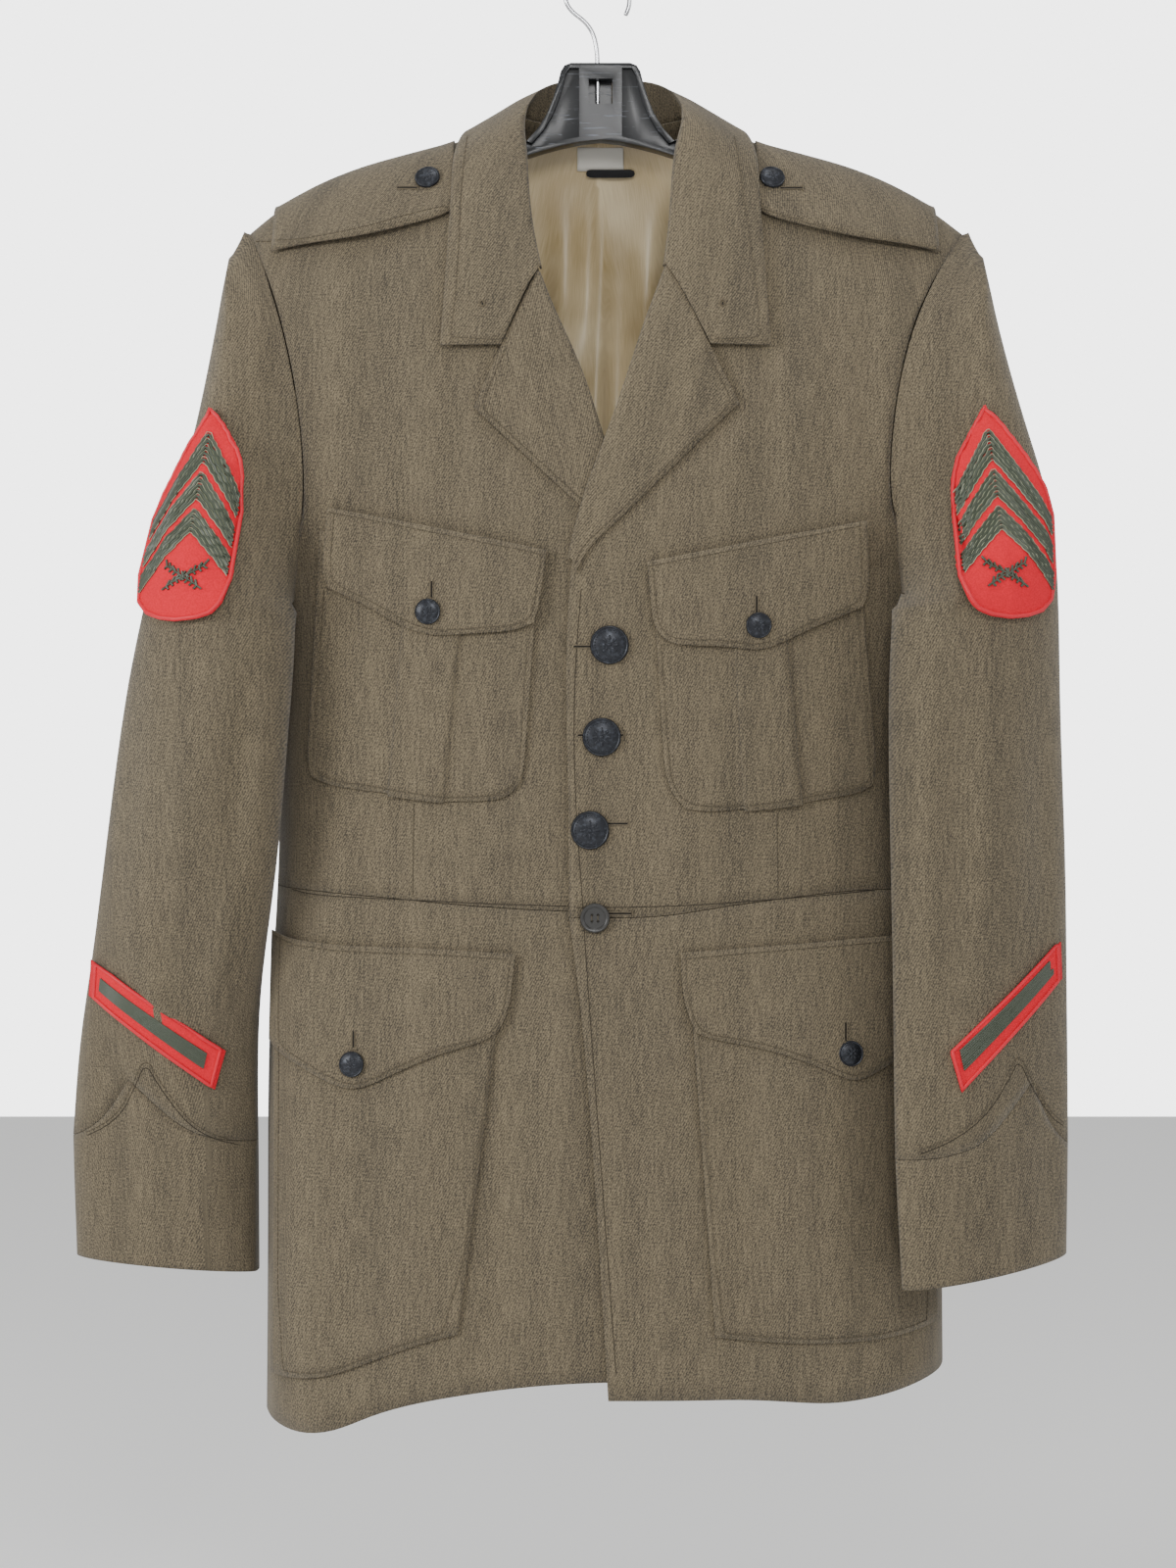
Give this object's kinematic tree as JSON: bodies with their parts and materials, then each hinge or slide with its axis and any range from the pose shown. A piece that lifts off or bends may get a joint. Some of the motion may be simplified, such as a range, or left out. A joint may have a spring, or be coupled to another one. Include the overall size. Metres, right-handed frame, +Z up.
{
  "type": "military uniform coat on a hanger",
  "caption": "Single-breasted wool service coat with patch pockets, shoulder straps and sleeve badges, hanging hollow on a moulded hanger with a wire hook.",
  "frame": {"origin": "inner top of the hook, where it rests on the rail", "axes": "+X to the picture's right, -Y towards the viewer (the coat's front), +Z up"},
  "size_m": [0.6713, 0.1888, 0.9879],
  "materials": {
    "wool": "olive green-brown wool gabardine, dull",
    "satin": "tan satin lining, soft sheen",
    "badge_cloth": "red felted cloth with green embroidery",
    "label_cloth": "white woven tape, bare",
    "black_tape": "black tape",
    "button_metal": "dark gunmetal, semi-gloss",
    "button_plastic": "dark olive plastic",
    "hanger_plastic": "black moulded plastic with light scratches",
    "hook_steel": "bright plated wire"
  },
  "bodies": {
    "root": {"front_upper_left": "wool", "front_skirt_left": "wool", "back_left": "wool", "sleeve_left": "wool", "cuff_left": "wool", "chest_pocket_left": "wool", "chest_flap_left": "wool", "skirt_pocket_left": "wool", "skirt_flap_left": "wool", "lapel_left": "wool", "epaulette_left": "wool", "rank_patch_left": "badge_cloth", "service_stripe_left": "badge_cloth", "chest_button_left": "button_metal", "skirt_button_left": "button_metal", "epaulette_button_left": "button_metal", "front_upper_right": "wool", "front_skirt_right": "wool", "back_right": "wool", "sleeve_right": "wool", "cuff_right": "wool", "chest_pocket_right": "wool", "chest_flap_right": "wool", "skirt_pocket_right": "wool", "skirt_flap_right": "wool", "lapel_right": "wool", "epaulette_right": "wool", "rank_patch_right": "badge_cloth", "service_stripe_right": "badge_cloth", "chest_button_right": "button_metal", "skirt_button_right": "button_metal", "epaulette_button_right": "button_metal", "collar": "wool", "back_lining": "satin", "neck_label": "label_cloth", "hanger_loop": "black_tape", "front_button_1": "button_metal", "front_button_2": "button_metal", "front_button_3": "button_metal", "front_button_4": "button_plastic", "hanger_body": "hanger_plastic", "hanger_hook": "hook_steel"}
  },
  "joints": []
}
